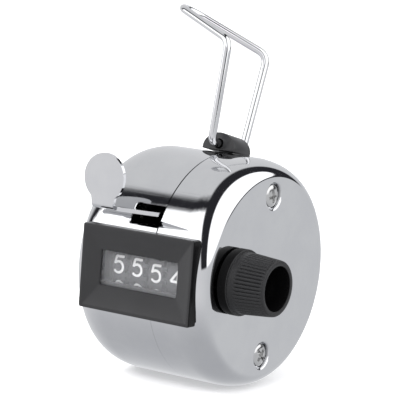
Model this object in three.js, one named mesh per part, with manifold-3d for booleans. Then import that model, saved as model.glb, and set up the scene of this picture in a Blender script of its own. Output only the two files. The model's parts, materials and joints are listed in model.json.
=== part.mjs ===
// A hand tally counter: four number wheels in a round two-part case, worked by a thumb lever,
// cleared by a reset knob and hung from a folding finger loop.
//
// Millimetres. The origin is the centre of the case's flat left face. +X runs along the case's
// axis to the reset knob, the window faces -Y, and +Z points up to the finger loop.

import * as THREE from 'three';
import * as BufferGeometryUtils from 'three/addons/utils/BufferGeometryUtils.js';
import Module from 'manifold-3d';

// Case
const CASE_RADIUS = 22.5;
const CASE_WIDTH = 31.1;
const CASE_EDGE = { axial: 6.6, radial: 3.4 };
const WALL = 0.8;
const SEAM_X = 18.75;
const SEAM_GAP = 0.1;
const SCREW_Z = 15.7;

// Number wheels and their shaft
const SHAFT = { y: -11.8, z: 0.2, radius: 1.5 };
const WHEEL = { radius: 7.9, width: 4.2, pitch: 4.4, firstX: 9.95, bore: 1.6 };
const GEAR = { teeth: 20, tip: WHEEL.radius, root: 6.85, width: 1.2 };
const PINION = { teeth: 8, tip: 3.5, root: 2.3, width: 0.9, bore: 1.0, distance: 10.6 };
const STAR = { teeth: 10, tip: 4.6, root: 3.3, width: 0.9, x: 25.55 };

// Window
const WINDOW = { x: 16.125, z: 0.25, width: 25.95, height: 16.4, corner: 0.4, front: -23.2, back: -21.0 };
const BEVEL_MARGIN = 0.6;
const OPENING = { x: 16.15, z: 0.25, width: 18.0, height: 6.75, front: -22.3 };
const PLUG = { width: 23.8, height: 14.2, back: -19.95 };
const LENS = { width: 19.8, height: 8.8, front: -21.65, thickness: 0.7 };

// Frame, lever and knob
const PLATE = { left: 3.2, right: 27.7, thickness: 1.0 };
const PIVOT = { y: 9.5, z: 4.5, radius: 1.0 };
const SLOT = { left: 11.95, low: 9.3, high: 13.15 };
const LEVER = { sheet: 0.8, z: 11.3, left: 5.0, right: 26.4, rear: 11.0, front: -15.5 };
const THUMB = { x: 6.1, z: 17.4, radius: 4.7, neck: 5.1, front: -21.7 };
const KNOB = {
  x: 31.45, length: 9.45, flange: 6.4, flangeWidth: 2.0, base: 5.95, baseStart: 2.2, tip: 5.36, tipEdge: 0.2,
  hollow: 4.3, floor: 3.35, bore: 1.65,
};
const KNOB_SCREW = { start: 32.7, shank: 0.7, seat: 35.1, head: 2.6, headEnd: 36.1, edge: 0.3 };
const BUSH = { start: 29.5, flangeEnd: 30.0, end: 31.0, flange: 3.2, outer: 2.3, bore: 1.6 };
const VERGE = { x: 26.75, thickness: 0.6, palletReach: 1.1 };

// Finger loop
const LOOP = {
  wire: 0.8, x: 15.95, tilt: THREE.MathUtils.degToRad(12.5), lean: THREE.MathUtils.degToRad(1.2),
  pivotRadius: 23.95, feet: 5.8, bends: 7.4, leg: 20.0, fold: THREE.MathUtils.degToRad(69.4),
  reach: 17.8, tipRadius: 3.5, bendRadius: 2.2, footRadius: 1.5,
};
const BLOCK = { base: 22.75, width: 7.4, height: 3.45, length: 6.2, foot: 0.4, stem: 1.4, stemLength: 3.2 };
const WASHER = { outer: 3.0, thickness: 0.8 };

const CLEARANCE = 0.3;
const SEAT_GAP = 0.15;

const wasm = await Module();
wasm.setup();

// Solids and booleans ---------------------------------------------------------------------

function toSolid(geometry) {
  const bare = geometry.clone();
  bare.deleteAttribute('normal');
  bare.deleteAttribute('uv');
  const merged = BufferGeometryUtils.mergeVertices(bare, 1e-4);
  const index = Array.from(merged.index.array);
  const triangles = [];
  for (let i = 0; i < index.length; i += 3) {
    const [a, b, c] = index.slice(i, i + 3);
    if (a !== b && b !== c && c !== a) triangles.push(a, b, c);
  }
  const vertProperties = new Float32Array(merged.attributes.position.array);
  return new wasm.Manifold(new wasm.Mesh({
    numProp: 3, vertProperties, triVerts: new Uint32Array(triangles),
  }));
}

function toGeometry(solid) {
  const mesh = solid.getMesh();
  const geometry = new THREE.BufferGeometry();
  geometry.setAttribute('position', new THREE.BufferAttribute(new Float32Array(mesh.vertProperties), 3));
  geometry.setIndex(Array.from(mesh.triVerts));
  return geometry;
}

function combine(first, { add = [], subtract = [] }) {
  let solid = toSolid(first);
  for (const geometry of add) solid = solid.add(toSolid(geometry));
  for (const geometry of subtract) solid = solid.subtract(toSolid(geometry));
  return toGeometry(solid);
}

// Shape helpers ---------------------------------------------------------------------------

// A closed profile of [x, radius] points, turned about the X axis.
function turned(profile, segments = 18) {
  const points = profile.map(([x, radius]) => new THREE.Vector2(radius, x));
  return new THREE.LatheGeometry(points, segments).rotateZ(-Math.PI / 2);
}

function tube(x, length, outer, inner, segments = 18) {
  const profile = [[x, inner], [x, outer], [x + length, outer], [x + length, inner], [x, inner]];
  return turned(profile, segments);
}

function rod(x, length, radius, segments = 18) {
  return turned([[x, 0], [x, radius], [x + length, radius], [x + length, 0]], segments);
}

function block(low, high) {
  const size = low.map((value, axis) => high[axis] - value);
  const middle = low.map((value, axis) => (high[axis] + value) / 2);
  return new THREE.BoxGeometry(...size).translate(...middle);
}

// A box along Y between two rectangles, each with its own centre (x, z), width and height.
function taperedBlock(front, frontFace, back, backFace) {
  const geometry = new THREE.BoxGeometry(1, 1, 1);
  const position = geometry.attributes.position;
  for (let i = 0; i < position.count; i += 1) {
    const isFront = position.getY(i) < 0;
    const face = isFront ? frontFace : backFace;
    const x = face.x + position.getX(i) * face.width;
    position.setXYZ(i, x, isFront ? front : back, face.z + position.getZ(i) * face.height);
  }
  return geometry;
}

function grown(face, amount) {
  return { x: face.x, z: face.z, width: face.width + amount * 2, height: face.height + amount * 2 };
}

function outline(points) {
  return new THREE.Shape(points.map(([a, b]) => new THREE.Vector2(a, b)));
}

function roundedRectangle(x, z, width, height, radius) {
  const shape = new THREE.Shape();
  const [dx, dz] = [width / 2 - radius, height / 2 - radius];
  shape.absarc(x + dx, z + dz, radius, 0, Math.PI / 2);
  shape.absarc(x - dx, z + dz, radius, Math.PI / 2, Math.PI);
  shape.absarc(x - dx, z - dz, radius, Math.PI, Math.PI * 1.5);
  shape.absarc(x + dx, z - dz, radius, Math.PI * 1.5, Math.PI * 2);
  return shape;
}

function withHoles(shape, holes) {
  for (const [a, b, radius] of holes) {
    shape.holes.push(new THREE.Path().absarc(a, b, radius, 0, Math.PI * 2, true));
  }
  return shape;
}

function extrude(shape, depth, curveSegments) {
  return new THREE.ExtrudeGeometry(shape, { depth, curveSegments, bevelEnabled: false });
}

// A sheet in the (Y, Z) plane, thickened along +X from x.
function sheetAcrossX(shape, x, thickness, curveSegments = 10) {
  const basis = new THREE.Matrix4().makeBasis(
    new THREE.Vector3(0, 1, 0), new THREE.Vector3(0, 0, 1), new THREE.Vector3(1, 0, 0));
  return extrude(shape, thickness, curveSegments).applyMatrix4(basis).translate(x, 0, 0);
}

// A sheet in the (X, Z) plane, thickened along +Y from y.
function sheetAcrossY(shape, y, thickness, curveSegments = 10) {
  const basis = new THREE.Matrix4().makeBasis(
    new THREE.Vector3(1, 0, 0), new THREE.Vector3(0, 0, 1), new THREE.Vector3(0, -1, 0));
  return extrude(shape, thickness, curveSegments).applyMatrix4(basis).translate(0, y + thickness, 0);
}

// The outline of a gear whose first tooth points along +Y.
// The widths are a tooth's share of the pitch at its root and at its tip.
function gearOutline({ teeth, root, tip }, rootShare, tipShare, phase = 0) {
  const points = [];
  for (let tooth = 0; tooth < teeth; tooth += 1) {
    const corners = [[root, -rootShare], [tip, -tipShare], [tip, tipShare], [root, rootShare]];
    for (const [radius, share] of corners) {
      const angle = ((tooth + phase + share / 2) * Math.PI * 2) / teeth;
      points.push([radius * Math.cos(angle), radius * Math.sin(angle)]);
    }
  }
  return points;
}

// A round wire that follows a list of points.
function wire(points, radius, sides, steps) {
  const path = new THREE.CatmullRomCurve3(points, false, 'centripetal');
  const section = new THREE.Shape().absarc(0, 0, radius, 0, Math.PI * 2);
  return new THREE.ExtrudeGeometry(section, {
    extrudePath: path, steps, curveSegments: sides / 2, bevelEnabled: false,
  });
}

// Points along a polyline with each inner corner rounded by an arc-like curve.
function roundedRoute(corners, radii, perCorner) {
  const route = [corners[0]];
  for (let i = 1; i < corners.length - 1; i += 1) {
    const corner = corners[i];
    const before = corners[i - 1].clone().sub(corner).setLength(radii[i - 1]).add(corner);
    const after = corners[i + 1].clone().sub(corner).setLength(radii[i - 1]).add(corner);
    const curve = new THREE.QuadraticBezierCurve3(before, corner, after);
    route.push(...curve.getPoints(perCorner));
  }
  route.push(corners[corners.length - 1]);
  return route;
}

// Case -------------------------------------------------------------------------------------

// The case's outer radius at a distance from a flat face, for a skin set in by some depth.
function skinProfile(inset, seamDistance) {
  const axial = CASE_EDGE.axial - inset;
  const radial = CASE_EDGE.radial - inset;
  const shoulder = CASE_RADIUS - CASE_EDGE.radial;
  const points = [[inset, 0]];
  const steps = 5;
  for (let step = 0; step <= steps; step += 1) {
    const angle = (step / steps) * Math.PI / 2;
    const x = CASE_EDGE.axial - axial * Math.cos(angle);
    points.push([x, shoulder + radial * Math.sin(angle)]);
  }
  points.push([seamDistance, shoulder + radial]);
  return points;
}

// The bare cup of one shell, open at the seam, with its flat face at x = 0.
function cup(depth) {
  const outer = skinProfile(0, depth);
  const inner = skinProfile(WALL, depth);
  return turned([...outer, ...inner.reverse()], 48);
}

// The whole case as a solid, grown by a clearance, used to fit the bezel to its surface.
function caseBody(growth) {
  const left = skinProfile(-growth, CASE_WIDTH / 2);
  const right = left.slice().reverse().map(([x, radius]) => [CASE_WIDTH - x, radius]);
  return turned([...left, ...right.slice(1)], 48);
}

function onScrewAxes(make) {
  return [SCREW_Z, -SCREW_Z].map((z) => make().translate(0, 0, z));
}

// One shell in its own direction: bosses for its screws, a dish and a counterbore for each head.
function screwedCup(depth, extraCuts) {
  const bosses = onScrewAxes(() => rod(WALL / 2, 1.6, 3.6));
  const dishes = onScrewAxes(() => turned([[-1, 0], [-1, 5.4], [0.45, 2.6], [0.45, 0]]));
  const counterbores = onScrewAxes(() => rod(0, 1.1, 2.6));
  const shankHoles = onScrewAxes(() => rod(0, 4, 1.35, 16));
  const subtract = [...dishes, ...counterbores, ...shankHoles, ...extraCuts];
  return combine(cup(depth), { add: bosses, subtract });
}

function windowCut() {
  const halfWidth = PLUG.width / 2 + CLEARANCE;
  const halfHeight = PLUG.height / 2 + CLEARANCE;
  return block(
    [WINDOW.x - halfWidth, -30, WINDOW.z - halfHeight], [WINDOW.x + halfWidth, -12, WINDOW.z + halfHeight]);
}

function leftShell() {
  const leverSlot = block([SLOT.left, -30, SLOT.low], [SEAM_X + 1, -10, SLOT.high]);
  const stem = BLOCK.stem + CLEARANCE;
  const stemHole = rod(0, 8, stem, 16).rotateY(-Math.PI / 2).translate(0, 0, 17);
  stemHole.rotateX(-LOOP.tilt).translate(LOOP.x, 0, 0);
  return screwedCup(SEAM_X - SEAM_GAP / 2, [windowCut(), leverSlot, stemHole]);
}

function rightShell() {
  const shaftHole = rod(0, 2, 2.6).translate(0, SHAFT.y, SHAFT.z);
  const turnAbout = new THREE.Matrix4().makeRotationZ(Math.PI);
  const cuts = [windowCut().translate(-CASE_WIDTH, 0, 0).applyMatrix4(turnAbout)];
  cuts.push(shaftHole.applyMatrix4(turnAbout).translate(2, 0, 0));
  const shell = screwedCup(CASE_WIDTH - SEAM_X - SEAM_GAP / 2, cuts);
  return shell.applyMatrix4(turnAbout).translate(CASE_WIDTH, 0, 0);
}

function caseScrew() {
  const head = [[0.15, 0], [0.15, 1.5], [0.45, 2.25], [0.8, 2.25], [0.8, 1.0], [5.0, 1.0], [5.0, 0]];
  const slots = [block([-1, -1.5, -0.25], [0.5, 1.5, 0.25]), block([-1, -0.25, -1.5], [0.5, 0.25, 1.5])];
  return combine(turned(head), { subtract: slots });
}

function spacerPost() {
  const [start, end] = [2.3, CASE_WIDTH - 2.3];
  const bore = 1.35;
  const depth = 3.4;
  return turned([
    [start, bore], [start, 2.0], [end, 2.0], [end, bore], [end - depth, bore], [end - depth, 0],
    [start + depth, 0], [start + depth, bore], [start, bore],
  ], 14);
}

// Window -----------------------------------------------------------------------------------

// The bevel's rectangle carried on past the front face, so that the cut leaves no skin.
function bevelMouth(rim, overrun) {
  const share = overrun / (OPENING.front - WINDOW.front);
  const carried = (from, to) => to + (to - from) * share;
  return {
    x: carried(OPENING.x, rim.x), z: rim.z,
    width: carried(OPENING.width, rim.width), height: carried(OPENING.height, rim.height),
  };
}

function windowBezel() {
  const outer = roundedRectangle(WINDOW.x, WINDOW.z, WINDOW.width, WINDOW.height, WINDOW.corner);
  const slab = sheetAcrossY(outer, WINDOW.front, WINDOW.back - WINDOW.front, 4);
  const plugFace = { x: WINDOW.x, z: WINDOW.z, width: PLUG.width, height: PLUG.height };
  const plug = taperedBlock(OPENING.front, plugFace, PLUG.back, plugFace);
  const overrun = 0.5;
  const inside = -18;
  const rim = grown(WINDOW, -BEVEL_MARGIN);
  const mouth = bevelMouth(rim, overrun);
  const seat = { ...grown(LENS, CLEARANCE), x: OPENING.x, z: OPENING.z };
  const cuts = [
    taperedBlock(WINDOW.front - overrun, mouth, OPENING.front, OPENING),
    taperedBlock(OPENING.front - 0.1, OPENING, inside, OPENING),
    taperedBlock(LENS.front - CLEARANCE, seat, inside, seat),
  ];
  let solid = toSolid(slab).subtract(toSolid(caseBody(SEAT_GAP))).add(toSolid(plug));
  for (const cut of cuts) solid = solid.subtract(toSolid(cut));
  return toGeometry(solid);
}

function windowLens() {
  const face = { x: OPENING.x, z: OPENING.z, width: LENS.width, height: LENS.height };
  return taperedBlock(LENS.front, face, LENS.front + LENS.thickness, face);
}

// Mechanism frame --------------------------------------------------------------------------

function sidePlate(x) {
  const shape = outline([
    [-15.5, -5], [-5, -8], [-4, -18.3], [4, -18.3], [5, -9], [15, -7],
    [15, 7], [6, 9], [4, 18.3], [-4, 18.3], [-5, 8], [-15.5, 5.5],
  ]);
  withHoles(shape, [
    [SHAFT.y, SHAFT.z, WHEEL.bore], [SHAFT.y + PINION.distance, SHAFT.z, PINION.bore],
    [PIVOT.y, PIVOT.z, PIVOT.radius + 0.1], [0, SCREW_Z, 2.3], [0, -SCREW_Z, 2.3],
  ]);
  return sheetAcrossX(shape, x, PLATE.thickness);
}

function mechanismFrame() {
  const web = block([PLATE.left, 14, -7], [PLATE.right + PLATE.thickness, 15, 7]);
  return combine(sidePlate(PLATE.left), { add: [sidePlate(PLATE.right), web] });
}

// An open ring clip, its gap facing +Z, about the X axis.
function retainingClip(bore, outer) {
  const gap = 0.6;
  const shape = new THREE.Shape();
  shape.absarc(0, 0, outer, Math.PI / 2 + gap, Math.PI * 2.5 - gap);
  shape.absarc(0, 0, bore, Math.PI * 2.5 - gap, Math.PI / 2 + gap, true);
  return sheetAcrossX(shape, 0, 0.5, 8);
}

// Wheels and gears -------------------------------------------------------------------------

// One number wheel about its own centre: a drum with a pocket for its reset pawl, a gear cut
// into its right edge and a carry notch in its left edge.
function numberWheel() {
  const half = WHEEL.width / 2;
  const pocket = { inner: 3.1, outer: 6.4, floor: -0.5 };
  const drum = turned([
    [-half, WHEEL.bore], [-half, pocket.inner], [pocket.floor, pocket.inner], [pocket.floor, pocket.outer],
    [-half, pocket.outer], [-half, WHEEL.radius], [half, WHEEL.radius], [half, WHEEL.bore], [-half, WHEEL.bore],
  ], 30);
  const spaces = outline(gearOutline(GEAR, 0.55, 0.28, 0.5));
  const ring = new THREE.Shape().absarc(0, 0, WHEEL.radius + 1, 0, Math.PI * 2);
  ring.holes.push(spaces);
  const gearCut = sheetAcrossX(ring, half - GEAR.width, GEAR.width + 1);
  const notch = block([-half - 1, -1.2, 7.2], [-half + 0.9, 1.2, 9]);
  return combine(drum, { subtract: [gearCut, notch] });
}

function resetPawl() {
  const shape = new THREE.Shape();
  shape.absarc(0, 0, 5.9, 0, Math.PI * 0.75);
  shape.absarc(0, 0, 3.6, Math.PI * 0.75, Math.PI * 0.55, true);
  shape.absarc(0, 0, 4.7, Math.PI * 0.5, 0.2, true);
  shape.lineTo(3.6, 0);
  return sheetAcrossX(shape, -1.9, 1.0, 5);
}

function starWheel() {
  const shape = withHoles(outline(gearOutline(STAR, 0.9, 0.2)), [[0, 0, WHEEL.bore]]);
  return sheetAcrossX(shape, 0, STAR.width, 8);
}

function transferPinion() {
  const shape = withHoles(outline(gearOutline(PINION, 0.62, 0.16)), [[0, 0, PINION.bore]]);
  const teeth = sheetAcrossX(shape, 0, PINION.width, 8);
  const hub = tube(PINION.width - 0.1, 1.0, 2.1, PINION.bore + 0.01, 16);
  return combine(teeth, { add: [hub] });
}

// The number shaft, with the long groove that the reset pawls drop into.
function numberShaft() {
  const [start, end] = [2.2, 34.5];
  const bore = { radius: 1.0, depth: 2.2 };
  const body = turned([
    [start, 0], [start, SHAFT.radius], [end, SHAFT.radius], [end, bore.radius],
    [end - bore.depth, bore.radius], [end - bore.depth, 0],
  ]);
  const groove = block([6.5, -0.35, 1.0], [26.8, 0.35, 2]);
  return combine(body, { subtract: [groove] });
}

// Thumb lever ------------------------------------------------------------------------------

function leverArm(x, thickness) {
  const shape = outline([
    [3, LEVER.z + 0.4], [6.4, 6], [6.7, 3], [9.5, 1.8], [12.2, 3], [12.2, 6], [LEVER.rear, LEVER.z + 0.4],
  ]);
  return sheetAcrossX(withHoles(shape, [[PIVOT.y, PIVOT.z, PIVOT.radius + 0.1]]), x, thickness, 8);
}

function thumbLever() {
  const tongue = [SLOT.left + 0.45, SEAM_X - 0.4];
  const neckLeft = THUMB.x - THUMB.neck / 2;
  const strip = THUMB.front + 1.35;
  const plan = outline([
    [LEVER.left, LEVER.rear], [LEVER.left, LEVER.front], [tongue[0], LEVER.front], [tongue[0], strip],
    [neckLeft, strip], [neckLeft, THUMB.front], [neckLeft + THUMB.neck + 1, THUMB.front],
    [tongue[1], THUMB.front + 1.6], [tongue[1], LEVER.front], [LEVER.right, LEVER.front],
    [LEVER.right, LEVER.rear],
  ]);
  plan.holes.push(outline([[9, -11.5], [22.4, -11.5], [22.4, 6.5], [9, 6.5]]));
  const plate = extrude(plan, LEVER.sheet, 4).translate(0, 0, LEVER.z);
  const reach = Math.asin(THUMB.neck / 2 / THUMB.radius);
  const thumb = new THREE.Shape();
  thumb.absarc(THUMB.x, THUMB.z, THUMB.radius, reach - Math.PI / 2, Math.PI * 1.5 - reach);
  thumb.lineTo(neckLeft, LEVER.z + 0.1);
  thumb.lineTo(neckLeft + THUMB.neck, LEVER.z + 0.1);
  const pad = sheetAcrossY(thumb, THUMB.front, LEVER.sheet, 16);
  const arms = [leverArm(LEVER.left, LEVER.sheet), leverArm(LEVER.right - 0.6, 0.6)];
  return combine(plate, { add: [pad, ...arms] });
}

// The forked verge whose two pallets work the star wheel.
function vergePlate() {
  const shape = outline([
    [-13.2, 8.4], [1, 8.4], [5, 6.5], [6.5, 3.5], [6, -2.5], [2, -5.9], [-13.2, -5.9],
    [-13.2, -7.4], [3, -7.4], [8, -5], [12, 3], [11.5, 7], [3, 10], [-13.2, 10],
  ]);
  const pivotHole = [PIVOT.y, PIVOT.z, PIVOT.radius + 0.1];
  const fork = sheetAcrossX(withHoles(shape, [pivotHole]), VERGE.x, VERGE.thickness, 8);
  const [start, end] = [VERGE.x - VERGE.palletReach, VERGE.x + VERGE.thickness / 2];
  const upper = block([start, -12.5, 6.35], [end, -11.1, 9.8]);
  const lower = block([start, -12.5, -7.2], [end, -11.1, -4.75]);
  return combine(fork, { add: [upper, lower] });
}

function returnSpring() {
  const coil = { radius: 2.0, turns: 4, start: 6.3, pitch: 0.72, perTurn: 10 };
  const points = [new THREE.Vector3(coil.start, 3.2, 10.2)];
  for (let i = 0; i <= coil.turns * coil.perTurn; i += 1) {
    const angle = Math.PI * 0.75 - (i / coil.perTurn) * Math.PI * 2;
    const x = coil.start + (i / coil.perTurn) * coil.pitch;
    const y = PIVOT.y + coil.radius * Math.cos(angle);
    points.push(new THREE.Vector3(x, y, PIVOT.z + coil.radius * Math.sin(angle)));
  }
  const end = points[points.length - 1];
  points.push(new THREE.Vector3(end.x, 13.2, 10.5));
  return wire(points, 0.25, 6, 56);
}

// Knob -------------------------------------------------------------------------------------

function resetKnob() {
  const end = KNOB.length;
  return turned([
    [0, KNOB.bore], [0, KNOB.flange], [KNOB.flangeWidth, KNOB.flange], [KNOB.baseStart, KNOB.base],
    [end - KNOB.tipEdge, KNOB.tip], [end, KNOB.tip - KNOB.tipEdge], [end, KNOB.hollow],
    [KNOB.floor, KNOB.hollow], [KNOB.floor, KNOB.bore], [0, KNOB.bore],
  ], 36).translate(KNOB.x, 0, 0);
}

function knobScrew() {
  const { start, shank, seat, head, headEnd, edge } = KNOB_SCREW;
  return turned([
    [start, 0], [start, shank], [seat, shank], [seat, head], [headEnd - edge, head], [headEnd, head - edge * 2],
    [headEnd, 0],
  ]);
}

function shaftBush() {
  const { start, flangeEnd, end, flange, outer, bore } = BUSH;
  return turned([
    [start, bore], [start, flange], [flangeEnd, flange], [flangeEnd, outer], [end, outer], [end, bore],
    [start, bore],
  ]);
}

// Finger loop, in a frame whose Y axis is the hinge line and whose Z axis points away from the case.

// The rounded tip of the bow, as [hinge-line offset, distance from the bend] points.
function bowTip(steps) {
  const centre = LOOP.reach - LOOP.tipRadius;
  const half = Math.asin(LOOP.tipRadius / Math.hypot(LOOP.bends, centre));
  const inward = Math.atan2(LOOP.bends, centre) - half;
  const tip = [];
  for (let step = 0; step <= steps; step += 1) {
    const angle = Math.PI - inward - (step / steps) * (Math.PI - 2 * inward);
    tip.push([LOOP.tipRadius * Math.cos(angle), centre + LOOP.tipRadius * Math.sin(angle)]);
  }
  return tip;
}

function fingerLoop() {
  const at = (x, y, z) => new THREE.Vector3(x, y, z);
  const tip = bowTip(8).map(([offset, distance]) => at(
    -Math.sin(LOOP.fold) * distance, offset, LOOP.leg + Math.cos(LOOP.fold) * distance));
  const inner = at(0, -BLOCK.length / 2 + 1.2, 0);
  const corners = [inner, at(0, -LOOP.feet, 0), at(0, -LOOP.bends, LOOP.leg), tip[0]];
  const half = roundedRoute(corners, [LOOP.footRadius, LOOP.bendRadius], 5);
  const otherHalf = half.map((point) => point.clone().setY(-point.y)).reverse();
  return wire([...half, ...tip.slice(1, -1), ...otherHalf], LOOP.wire, 8, 72);
}

// The half-round block that holds the loop's feet, with the stem that passes into the case.
function loopMount() {
  const base = BLOCK.base - LOOP.pivotRadius;
  const half = BLOCK.width / 2;
  const shape = new THREE.Shape();
  shape.moveTo(half, base);
  shape.absellipse(0, base + BLOCK.foot, half, BLOCK.height - BLOCK.foot, 0, Math.PI);
  shape.lineTo(-half, base);
  const body = sheetAcrossY(shape, -BLOCK.length / 2, BLOCK.length, 10);
  const socketDepth = 1.7;
  const socket = () => rod(0, 3, LOOP.wire + 0.25, 16).rotateZ(Math.PI / 2);
  const near = socket().translate(0, -BLOCK.length / 2 - 3 + socketDepth, 0);
  const far = socket().translate(0, BLOCK.length / 2 - socketDepth, 0);
  const stem = rod(0, BLOCK.stemLength, BLOCK.stem, 16).rotateY(-Math.PI / 2);
  stem.translate(0, 0, base + 0.2 - BLOCK.stemLength);
  return combine(body, { add: [stem], subtract: [near, far] });
}

function stemWasher() {
  const top = CASE_RADIUS - WALL - CLEARANCE * 2 - LOOP.pivotRadius;
  const ring = tube(0, WASHER.thickness, WASHER.outer, BLOCK.stem + CLEARANCE, 20);
  return ring.rotateY(-Math.PI / 2).translate(0, 0, top - WASHER.thickness);
}

// Materials --------------------------------------------------------------------------------

function finish(color, roughness, metalness) {
  return () => new THREE.MeshStandardMaterial({ color, roughness, metalness });
}

const chrome = finish(0xc4c6ca, 0.08, 1);
const steel = finish(0xa9a9a6, 0.35, 1);
const zinc = finish(0xb4b2a8, 0.4, 1);
const brass = finish(0xb8923f, 0.3, 1);
const blackPlastic = finish(0x2b2b2e, 0.4, 0);
const wheelPlastic = finish(0x3a3a3c, 0.55, 0);
const clearPlastic = finish(0xdfe3e6, 0.1, 0);

// Assembly ---------------------------------------------------------------------------------

const counter = new THREE.Group();

function put(parent, name, geometry, material, position = [0, 0, 0]) {
  const mesh = new THREE.Mesh(geometry, material());
  mesh.name = name;
  mesh.position.set(...position);
  parent.add(mesh);
  return mesh;
}

put(counter, 'left_case_shell', leftShell(), chrome);
put(counter, 'right_case_shell', rightShell(), chrome);
put(counter, 'window_bezel', windowBezel(), blackPlastic);
put(counter, 'window_lens', windowLens(), clearPlastic);
put(counter, 'mechanism_frame', mechanismFrame(), zinc);

for (const [level, z] of [['upper', SCREW_Z], ['lower', -SCREW_Z]]) {
  put(counter, `${level}_spacer_post`, spacerPost(), steel, [0, 0, z]);
  put(counter, `left_${level}_screw`, caseScrew(), steel, [0, 0, z]);
  const right = put(counter, `right_${level}_screw`, caseScrew(), steel, [CASE_WIDTH, 0, z]);
  right.rotation.y = Math.PI;
}

const numberAxis = new THREE.Group();
numberAxis.position.set(0, SHAFT.y, SHAFT.z);
counter.add(numberAxis);
put(numberAxis, 'number_shaft', numberShaft(), steel);
put(numberAxis, 'reset_knob', resetKnob(), blackPlastic);
put(numberAxis, 'knob_screw', knobScrew(), steel);
put(numberAxis, 'shaft_bush', shaftBush(), brass);
put(numberAxis, 'shaft_clip', retainingClip(SHAFT.radius + 0.2, 2.9), steel, [2.4, 0, 0]);
['thousands', 'hundreds', 'tens', 'units'].forEach((place, index) => {
  const x = WHEEL.firstX + index * WHEEL.pitch;
  put(numberAxis, `${place}_wheel`, numberWheel(), wheelPlastic, [x, 0, 0]);
  put(numberAxis, `${place}_reset_pawl`, resetPawl(), brass, [x, 0, 0]);
});
put(numberAxis, 'star_wheel', starWheel(), brass, [STAR.x, 0, 0]);

const pinionAxis = new THREE.Group();
pinionAxis.position.set(0, SHAFT.y + PINION.distance, SHAFT.z);
counter.add(pinionAxis);
put(pinionAxis, 'pinion_shaft', rod(2.4, 27.0, PINION.bore - 0.1, 16), steel);
['thousands', 'hundreds', 'tens'].forEach((place, index) => {
  const x = WHEEL.firstX + index * WHEEL.pitch + WHEEL.width / 2 - PINION.width;
  put(pinionAxis, `${place}_transfer_pinion`, transferPinion(), brass, [x, 0, 0]);
});

const leverAxis = new THREE.Group();
leverAxis.position.set(0, PIVOT.y, PIVOT.z);
counter.add(leverAxis);
put(leverAxis, 'lever_pivot_pin', rod(2.0, 27.9, PIVOT.radius, 16), steel);
put(leverAxis, 'left_pivot_clip', retainingClip(PIVOT.radius + 0.2, 2.1), steel, [2.4, 0, 0]);
put(leverAxis, 'right_pivot_clip', retainingClip(PIVOT.radius + 0.2, 2.1), steel, [29.0, 0, 0]);

put(counter, 'thumb_lever', thumbLever(), chrome);
put(counter, 'verge_plate', vergePlate(), steel);
put(counter, 'lever_return_spring', returnSpring(), steel);

const loopAxis = new THREE.Group();
loopAxis.rotation.x = -LOOP.tilt;
loopAxis.position.set(
  LOOP.x, LOOP.pivotRadius * Math.sin(LOOP.tilt), LOOP.pivotRadius * Math.cos(LOOP.tilt));
counter.add(loopAxis);
put(loopAxis, 'finger_loop', fingerLoop(), chrome).rotation.y = LOOP.lean;
put(loopAxis, 'loop_mount', loopMount(), blackPlastic);
put(loopAxis, 'loop_mount_washer', stemWasher(), steel);

export default counter;
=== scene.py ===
"""The look of the hand tally counter: fine meshes, materials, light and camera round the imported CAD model."""

import json
import math

import bmesh
import bpy
import numpy as np
from mathutils import Matrix, Vector
from mathutils.geometry import tessellate_polygon


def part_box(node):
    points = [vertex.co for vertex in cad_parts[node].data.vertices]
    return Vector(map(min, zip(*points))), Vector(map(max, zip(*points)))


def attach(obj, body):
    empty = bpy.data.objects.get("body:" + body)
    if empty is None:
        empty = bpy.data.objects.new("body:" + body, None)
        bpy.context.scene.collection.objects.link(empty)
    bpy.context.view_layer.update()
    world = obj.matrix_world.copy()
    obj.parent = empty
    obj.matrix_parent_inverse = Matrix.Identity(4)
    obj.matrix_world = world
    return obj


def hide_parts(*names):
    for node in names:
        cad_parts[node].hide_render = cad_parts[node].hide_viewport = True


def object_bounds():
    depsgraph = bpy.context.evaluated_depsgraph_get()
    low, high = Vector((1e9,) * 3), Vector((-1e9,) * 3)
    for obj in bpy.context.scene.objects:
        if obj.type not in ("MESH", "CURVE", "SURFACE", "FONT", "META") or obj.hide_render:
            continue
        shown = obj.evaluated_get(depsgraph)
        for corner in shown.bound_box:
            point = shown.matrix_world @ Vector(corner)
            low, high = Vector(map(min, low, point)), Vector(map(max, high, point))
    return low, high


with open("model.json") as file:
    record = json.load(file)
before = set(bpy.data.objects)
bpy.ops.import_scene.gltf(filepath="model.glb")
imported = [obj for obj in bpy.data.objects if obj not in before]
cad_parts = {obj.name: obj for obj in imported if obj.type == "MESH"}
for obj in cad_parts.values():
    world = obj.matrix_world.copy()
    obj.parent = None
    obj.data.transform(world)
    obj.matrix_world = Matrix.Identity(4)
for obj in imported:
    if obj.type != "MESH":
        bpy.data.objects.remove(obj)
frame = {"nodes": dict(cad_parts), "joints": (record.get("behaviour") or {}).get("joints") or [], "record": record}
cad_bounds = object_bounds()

MM = 0.001
JOINTS = {joint["name"]: joint for joint in frame["joints"]}

# Sizes in millimetres, in the CAD frame: origin on the left face, +X to the knob, window at -Y.
CASE_R, CASE_W, WALL = 22.5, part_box("right_case_shell")[1].x / MM, 0.8
EDGE_AXIAL, EDGE_RADIAL = 6.6, 3.4
SEAM_X = 18.75
SHAFT_Y, SHAFT_Z = JOINTS["units_spin"]["pos_m"][1] / MM, JOINTS["units_spin"]["pos_m"][2] / MM
WHEEL_R, WHEEL_W = 7.9, 4.2
SCREW_Z = 15.7
PLUG_MIDDLE = (16.125, 0.25)
PLUG_BACK = -19.95
OPENING_MIDDLE = (16.15, 0.25)
PAD_R, NECK, SHEET, PLATE_Z = 4.7, 5.1, 0.8, 11.3


# ---------------------------------------------------------------- camera

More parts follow.
